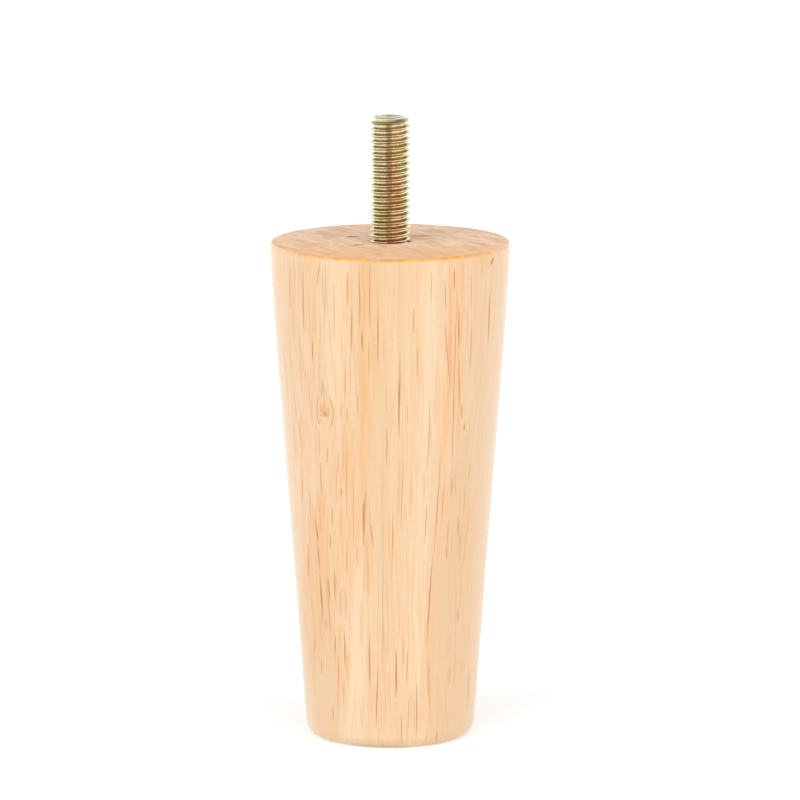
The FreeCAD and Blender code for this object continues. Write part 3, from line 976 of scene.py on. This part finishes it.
def make_zinc():
    """Yellow zinc plating: a metal whose pale gold drifts to green and rose in soft patches, with painted
    shade down the flanks and in the thread's roots, olive on the left and brown on the right, duller on the
    last turn, and bare grey on the cut end."""
    material, tree = new_material("yellow zinc plating")
    place = in_millimetres(tree)
    x, y, z = split(tree, place)
    flat = vector_maths(tree, "MULTIPLY", place, (1, 1, 0))
    radius = put(tree, "ShaderNodeVectorMath", {0: flat}, operation="LENGTH").outputs["Value"]

    patch = put(tree, "ShaderNodeSeparateColor", {0: noise(tree, place, PATCH_RATE, 2.0, 0.5, output=1)})
    mottle = noise(tree, place, MOTTLE_RATE, 3.0, 0.6)
    tint = blend(tree, ease(tree, mottle, *GOLD_FADE), ZINC_GOLD, ZINC_BRIGHT)
    tint = blend(tree, ease(tree, patch.outputs[0], *GREEN_FADE), tint, ZINC_GREEN)
    tint = blend(tree, ease(tree, patch.outputs[1], *PINK_FADE), tint, ZINC_ROSE)
    # Painted shade down the flanks and in the roots, olive on the left and brown on the right, none on the
    # last turn
    root = times(tree, ease(tree, radius, *CREST_FADE), ease(tree, radius, *DEEPEST_FADE))
    root = times(tree, root, ease(tree, z, *LAST_TURN_FADE))
    brown = times(tree, ease(tree, x, *SHADE_BROWN_LEFT_FADE), ease(tree, x, *SHADE_BROWN_RIGHT_FADE))
    root_shade_tint = blend(tree, brown, ROOT_SHADE_OLIVE, ROOT_SHADE_BROWN)
    tint = blend(tree, times(tree, root, ROOT_SHADE_STRENGTH), tint, root_shade_tint)
    ring = times(tree, ease(tree, radius, *RING_FADE), ease(tree, x, *RING_SIDE_FADE))
    cut_tint = blend(tree, ring, CUT_BARE, CUT_RING)
    tint = blend(tree, times(tree, ease(tree, z, *CUT_FADE), CUT_STRENGTH), tint, cut_tint)

    rough = times_plus(tree, mottle, MOTTLE_ROUGHNESS, ZINC_ROUGHNESS)
    scratch = noise(tree, place, SCRATCH_RATE, 2.0, 0.6)
    relief = maths(tree, "ADD", times(tree, scratch, SCRATCH_RELIEF), mottle)
    bump = put(tree, "ShaderNodeBump", {"Height": relief, **ZINC_BUMP})
    shader = put(tree, "ShaderNodeBsdfPrincipled", {
        "Base Color": tint,
        "Metallic": 1.0,
        "Specular Tint": ZINC_SHEEN,
        "Roughness": times_plus(tree, ease(tree, z, *DULL_END_FADE), DULL_END_ROUGHNESS, rough),
        "Normal": bump.outputs[0],
    })
    put(tree, "ShaderNodeOutputMaterial", {"Surface": shader.outputs[0]})
    return material


# Floor, light and camera

# The dark gap in front: how far it lies to the left over how far ahead, and where it fades on the floor and
# in the surround, with the strengths there
GAP_PLACE = 0.195
FLOOR_GAP_FADE = (0.36, 0.43, 1.0, 0.0)
SURROUND_GAP_FADE = (0.34, 0.42, 0.35, 1.0)

# The floor's tone, the darker tone painted into its reflections in the gap, how much it glows, and how much
# less it glows there in reflections
FLOOR_PALE = (0.64, 0.64, 0.64, 1)
FLOOR_DARK_IN_REFLECTIONS = (0.38, 0.35, 0.35, 1)
FLOOR_GLOW = 0.42
GLOW_LOSS_IN_REFLECTIONS = -0.20
FLOOR_ROUGHNESS = 0.9

# The surround's strength, and how it dims overhead
SURROUND_STRENGTH = 1.4
OVERHEAD_FADE = (0.48, 0.72, 1.0, 0.05)

# The two soft lamps: direction, power, and width in degrees
LEFT_LAMP = ((0.55, 0.75, -1.0), 1.55, 50.0)
RIGHT_LAMP = ((-0.60, 0.70, -1.0), 1.25, 50.0)

# The camera: distance from the middle of the leg and height of that middle in metres, angle above it in
# degrees, the point it is aimed at, and its lens and film in millimetres
CAMERA_DISTANCE = 1.2
CAMERA_MIDDLE = 0.05
CAMERA_LIFT = 10.93
CAMERA_AIM = (0.00195, 0, 0.0678)
CAMERA_LENS = 269.3
CAMERA_FILM = 36.0


def from_gap(tree, vector):
    """How far a place or direction lies beside the middle of the dark gap in front, over how far ahead."""
    x, y, z = split(tree, vector)
    ahead = maths(tree, "MAXIMUM", times(tree, y, -1.0), 0.001)
    return maths(tree, "ABSOLUTE", maths(tree, "ADD", maths(tree, "DIVIDE", x, ahead), GAP_PLACE))


def make_floor():
    """A plain pale floor that sweeps far back. It glows a little, so that no shadow on it goes dark, and
    glossy surfaces see it dark in a wedge at the front: a painted dark reflection that carries the surround's
    dark gap onto the floor."""
    mesh = bpy.data.meshes.new("pale_floor")
    mesh.from_pydata([(-6, -6, 0), (6, -6, 0), (6, 12, 0), (-6, 12, 0)], [], [(0, 1, 2, 3)])
    floor = bpy.data.objects.new("pale_floor", mesh)
    bpy.context.scene.collection.objects.link(floor)
    material = bpy.data.materials.new("pale floor")
    material.use_nodes = True
    tree = material.node_tree
    shader = tree.nodes["Principled BSDF"]
    wedge = ease(tree, from_gap(tree, put(tree, "ShaderNodeTexCoord").outputs["Object"]), *FLOOR_GAP_FADE)
    # Painted dark reflection: only glossy rays see the floor darker and glowing less in the wedge of the gap
    dark_in_reflections = times(tree, wedge, put(tree, "ShaderNodeLightPath").outputs["Is Glossy Ray"])
    tree.links.new(blend(tree, dark_in_reflections, FLOOR_PALE, FLOOR_DARK_IN_REFLECTIONS), shader.inputs["Base Color"])
    shader.inputs["Emission Color"].default_value = (1, 1, 1, 1)
    tree.links.new(times_plus(tree, dark_in_reflections, GLOW_LOSS_IN_REFLECTIONS, FLOOR_GLOW), shader.inputs["Emission Strength"])
    shader.inputs["Roughness"].default_value = FLOOR_ROUGHNESS
    shader.inputs["Specular IOR Level"].default_value = 0.0
    mesh.materials.append(material)


def make_sun(name, direction, power, spread):
    """Soft light that falls along a direction, the same everywhere. Spread is its width in degrees."""
    lamp = bpy.data.lights.new(name, "SUN")
    lamp.energy = power
    lamp.angle = math.radians(spread)
    made = bpy.data.objects.new(name, lamp)
    made.location = -Vector(direction)
    made.rotation_euler = Vector(direction).to_track_quat("-Z", "Y").to_euler()
    made.visible_glossy = False
    bpy.context.scene.collection.objects.link(made)


def make_lights():
    """A white surround as of two curved light walls, left and right: bright from the floor to head height,
    dim overhead and in the gap between the walls at the front, with a large soft lamp above each wall."""
    make_sun("left soft lamp", *LEFT_LAMP)
    make_sun("right soft lamp", *RIGHT_LAMP)
    world = bpy.data.worlds.new("light walls")
    world.use_nodes = True
    tree = world.node_tree
    direction = put(tree, "ShaderNodeTexCoord").outputs["Generated"]
    overhead = ease(tree, split(tree, direction)[2], *OVERHEAD_FADE)
    gap = ease(tree, from_gap(tree, direction), *SURROUND_GAP_FADE)
    strength = times(tree, times(tree, overhead, gap), SURROUND_STRENGTH)
    tree.links.new(strength, tree.nodes["Background"].inputs["Strength"])
    tree.nodes["Background"].inputs["Color"].default_value = (1, 1, 1, 1)
    bpy.context.scene.world = world


def make_camera():
    """The photograph's viewing angle: a little above the middle of the leg, from afar, with a long lens."""
    lens = bpy.data.cameras.new("camera")
    lens.sensor_width = CAMERA_FILM
    lens.lens = CAMERA_LENS
    lens.clip_start = 0.05
    lens.clip_end = 60.0
    camera = bpy.data.objects.new("camera", lens)
    lift = math.radians(CAMERA_LIFT)
    camera.location = (0, -CAMERA_DISTANCE * math.cos(lift), CAMERA_MIDDLE + CAMERA_DISTANCE * math.sin(lift))
    camera.rotation_euler = (Vector(CAMERA_AIM) - camera.location).to_track_quat("-Z", "Y").to_euler()
    bpy.context.scene.collection.objects.link(camera)
    bpy.context.scene.camera = camera


# Everything put together

leg = make_leg()
leg.data.materials.append(make_wood())
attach(leg, "root")
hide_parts("wooden_leg")

bolt = make_bolt()
bolt.data.materials.append(make_zinc())
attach(bolt, "root")
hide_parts("hanger_bolt")

make_floor()
make_lights()
make_camera()
bpy.context.scene.view_settings.view_transform = "Standard"
bpy.context.scene.view_settings.look = "None"
